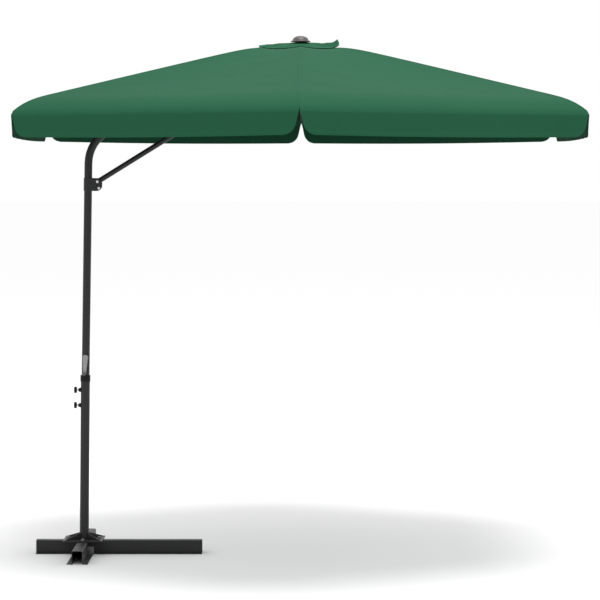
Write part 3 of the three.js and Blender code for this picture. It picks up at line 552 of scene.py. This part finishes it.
def half_panel(index, side, materials):
    """The panel from a rib to the panel's middle on one side, with its valance."""
    turn = Matrix.Rotation(math.radians(FIRST_RIB_DEG) + STEP * index, 4, "Z")
    outward = Vector((math.cos(STEP / 2), math.sin(STEP / 2), 0))
    columns = len(COLUMNS_BY_RIB) + FIELD_COLUMNS
    vertices, line, along = [], [], []

    for row in range(PANEL_ROWS + 1):
        outermost = CANOPY_RADIUS - EAVE_RADIUS
        radius = VENT_RADIUS + (outermost - VENT_RADIUS) * (row / PANEL_ROWS) ** 0.92
        half_width = radius / 2
        for column in range(columns):
            distance = column_distance(column, half_width)
            at = panel_point(radius, 0.5 * distance / half_width)
            world = turn @ Vector((at.x, at.y * side, at.z))
            on_seam = 1 if distance <= SEAM_HALF_WIDTH - 0.0005 else 0
            calm = min(1, distance / CALM_BY_RIB) * min(1, (CANOPY_RADIUS - radius) / CALM_BY_EAVE)
            world.z += sum(ripple(world, size, depth) * calm for size, depth in PANEL_RIPPLES)
            world.z += on_seam * SEAM_RISE
            vertices.append(world)
            line.append(distance - STITCH_FROM_RIB)
            along.append(radius)

    for row in range(1, VALANCE_ROWS + 1):
        drop = VALANCE_DROP * row / VALANCE_ROWS
        edge = flap_edge(drop)
        turned = max(0, 1 - drop / EAVE_RADIUS) ** 2
        for column in range(columns):
            half_width = CANOPY_RADIUS / 2
            spread = column_distance(column, half_width) / half_width
            distance = edge + (half_width - edge) * spread
            at = panel_point(CANOPY_RADIUS - EAVE_RADIUS * 0.6 * turned, 0.5 * distance / half_width)
            middle = distance / half_width
            bow = VALANCE_BOW * math.sin(math.pi * middle / 2) * drop / VALANCE_DROP
            at = Vector((at.x, at.y, fabric_height(CANOPY_RADIUS) - drop - bow))
            at -= outward * CORNER_LEAN * (1 - middle) ** 4 * drop / VALANCE_DROP
            dying_out = math.sin(middle * math.pi / 2 + math.pi / 2)
            wave = FLAP_WAVE * math.sin(distance * FLAP_WAVE_TURN) * dying_out
            hem = HEM_RISE if VALANCE_DROP - drop < HEM_HEIGHT else 0
            at += outward * (wave * (drop / VALANCE_DROP) ** 1.5 + hem)
            vertices.append(turn @ Vector((at.x, at.y * side, at.z)))
            from_hem = VALANCE_DROP - drop - HEM_HEIGHT + STITCH_IN_HEM
            line.append(min(from_hem, drop - STITCH_FROM_EAVE, key=abs))
            along.append(distance)

    faces = []
    for row in range(PANEL_ROWS + VALANCE_ROWS):
        for column in range(columns - 1):
            a = row * columns + column
            quad = [a, a + columns, a + columns + 1, a + 1]
            faces.append(quad if side > 0 else quad[::-1])
    name = f"canopy_{index + 1}_{'left' if side > 0 else 'right'}"
    stitching = {"stitch_line": line, "stitch_along": along}
    piece = make_piece(name, vertices, faces, materials["canopy_fabric"], attributes=stitching)
    thicken(piece, FABRIC, materials["canopy_shaded_inside"])

    body = f"rib_{index + 1}"
    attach(piece, body)
    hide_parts(f"canopy_sector_{index + 1}")
    fold_half_panel(piece, side)


def fold_half_panel(piece, side):
    """Works out the rib line and the side above it, and gives the half panel a mesh of its own."""
    start, end = panel_point(0.2, 0), panel_point(1.4, 0)
    rib_line = (end - start).normalized()
    across = Vector((0, side, 0))
    upward = rib_line.cross(across).normalized()
    if upward.z < 0:
        upward.negate()
    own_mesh(piece)


def cap_lobe(angle, direction, sharpness):
    """1 in a direction from the middle, falling to 0 at right angles to it."""
    return max(0, math.cos(angle - direction)) ** sharpness


def vent_cap(materials):
    """The loose cap over the canopy's opening: gathered at the finial, with flaps that curl at their edge."""
    vertices, line, along = [], [], []
    for ring in range(CAP_RINGS + 1):
        share = ring / CAP_RINGS
        for spoke in range(CAP_SPOKES):
            angle = math.tau * spoke / CAP_SPOKES
            corner = abs(math.cos(RIB_COUNT / 2 * (angle - math.radians(FIRST_RIB_DEG))))
            reach = CAP_REACH + CAP_CORNER_REACH * corner + CAP_LEFT_REACH * cap_lobe(angle, math.pi, 3)
            radius = CAP_INNER_RADIUS + (reach - CAP_INNER_RADIUS) * share
            z = CAP_TOP_Z - CAP_FALL * share**1.3
            for count, phase, height, growth in CAP_WAVES:
                z += height * share**growth * math.sin(count * angle + phase)
            for direction, sharpness, height, growth in CAP_LOBES:
                z += height * cap_lobe(angle, direction, sharpness) * share**growth
            at = Vector((radius * math.cos(angle), radius * math.sin(angle), z))
            at.z += ripple(at, *CAP_RIPPLE) * share
            at.z = max(at.z, canopy_top(max(radius, VENT_RADIUS), angle) + CAP_CLEARANCE)
            vertices.append(at)
            line.append((reach - radius) - STITCH_FROM_EAVE)
            along.append(angle * reach)
    faces = []
    for ring in range(CAP_RINGS):
        for spoke in range(CAP_SPOKES):
            a, b = ring * CAP_SPOKES + spoke, ring * CAP_SPOKES + (spoke + 1) % CAP_SPOKES
            faces.append([a, a + CAP_SPOKES, b + CAP_SPOKES, b])
    stitching = {"stitch_line": line, "stitch_along": along}
    piece = make_piece("vent_cap_cloth", vertices, faces, materials["canopy_fabric"], attributes=stitching)
    thicken(piece, FABRIC, materials["canopy_shaded_inside"])
    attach(piece, MAST_BODY)
    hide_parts("vent_cap")


# ---------- Lift cord ----------


def mast_axis_x(z):
    """Where the upper mast's axis is at a height below the bend."""
    cross_x = FOOT_X + math.tan(math.radians(LOWER_LEAN_DEG)) * MAST_CROSS_Z
    return cross_x + math.tan(math.radians(UPPER_LEAN_DEG)) * (z - MAST_CROSS_Z)


def bend_points(steps):
    """Points along the arc of the mast's bend, from the upright to the arm."""
    lean, last = math.radians(UPPER_LEAN_DEG), math.radians(90 - ARM_SLOPE_DEG)
    start = Vector((mast_axis_x(BEND_START_Z), 0, BEND_START_Z))
    centre = start + BEND_RADIUS * Vector((math.cos(lean), 0, -math.sin(lean)))
    angles = [lean + (last - lean) * step / steps for step in range(steps + 1)]
    return [centre + BEND_RADIUS * Vector((-math.cos(angle), 0, math.sin(angle))) for angle in angles]


def arm_point(x):
    """The point on the arm's axis at that x."""
    start = bend_points(CORD_BEND_STEPS)[-1]
    return Vector((x, 0, start.z + (x - start.x) * math.tan(math.radians(ARM_SLOPE_DEG))))


def pulley_centre():
    """The pulley sits so that the arm's axis is tangent to the cord on it, and the cord falls at x = 0."""
    slope = math.radians(ARM_SLOPE_DEG)
    tangent = arm_point(-PULLEY_RADIUS * (1 + math.sin(slope)))
    return Vector((-PULLEY_RADIUS, 0, tangent.z - PULLEY_RADIUS * math.cos(slope)))


def tube(name, stations, radius, material):
    """A round cord through the stations, which lie in the XZ plane."""
    vertices, faces = [], []
    for i, at in enumerate(stations):
        before, after = stations[max(i - 1, 0)], stations[min(i + 1, len(stations) - 1)]
        along = (after - before).normalized()
        outward = Vector((0, 1, 0)).cross(along)
        for j in range(CORD_SIDES):
            angle = math.tau * j / CORD_SIDES
            vertices.append(at + radius * (math.cos(angle) * outward + Vector((0, math.sin(angle), 0))))
    for i in range(len(stations) - 1):
        for j in range(CORD_SIDES):
            a, b = i * CORD_SIDES + j, i * CORD_SIDES + (j + 1) % CORD_SIDES
            faces.append([a, a + CORD_SIDES, b + CORD_SIDES, b])
    last = (len(stations) - 1) * CORD_SIDES
    faces.append(list(range(CORD_SIDES)))
    faces.append([last + j for j in reversed(range(CORD_SIDES))])
    return make_piece(name, vertices, faces, material)


def lift_cord(materials):
    """The cord from the drum up the mast, over the pulley and down to the ferrule on the runner."""
    run = [Vector((mast_axis_x(z) + WINDING_REACH * off, 0, z)) for z, off in CORD_RISE]
    run += bend_points(CORD_BEND_STEPS)
    run += [arm_point(x) for x in CORD_ARM_X]
    centre = pulley_centre()
    for step in range(PULLEY_STEPS + 1):
        angle = math.radians(90 + ARM_SLOPE_DEG) * (1 - step / PULLEY_STEPS)
        run.append(centre + PULLEY_RADIUS * Vector((math.cos(angle), 0, math.sin(angle))))
    inside = tube("lift_cord_in_mast", run, CORD_RADIUS, materials["cord"])
    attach(inside, MAST_BODY)
    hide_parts("lift_cord")

    top = centre.z
    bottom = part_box("cord_ferrule")[1][2] + CORD_GAP
    falls = [
        Vector((0, 0, top + (bottom - top) * step / CORD_FALL_STEPS)) for step in range(CORD_FALL_STEPS + 1)
    ]
    hanging = tube("lift_cord_fall", falls, CORD_RADIUS, materials["cord"])
    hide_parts("lift_cord")
    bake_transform(hanging)


# ---------- Build ----------

add_camera()
add_stage()
MATERIALS = make_materials()
REPLACED = {f"canopy_sector_{i + 1}" for i in range(RIB_COUNT)} | {"vent_cap", "lift_cord"}
dress_nodes(MATERIALS, REPLACED)
for rib in range(RIB_COUNT):
    for half in (1, -1):
        half_panel(rib, half, MATERIALS)
vent_cap(MATERIALS)
lift_cord(MATERIALS)
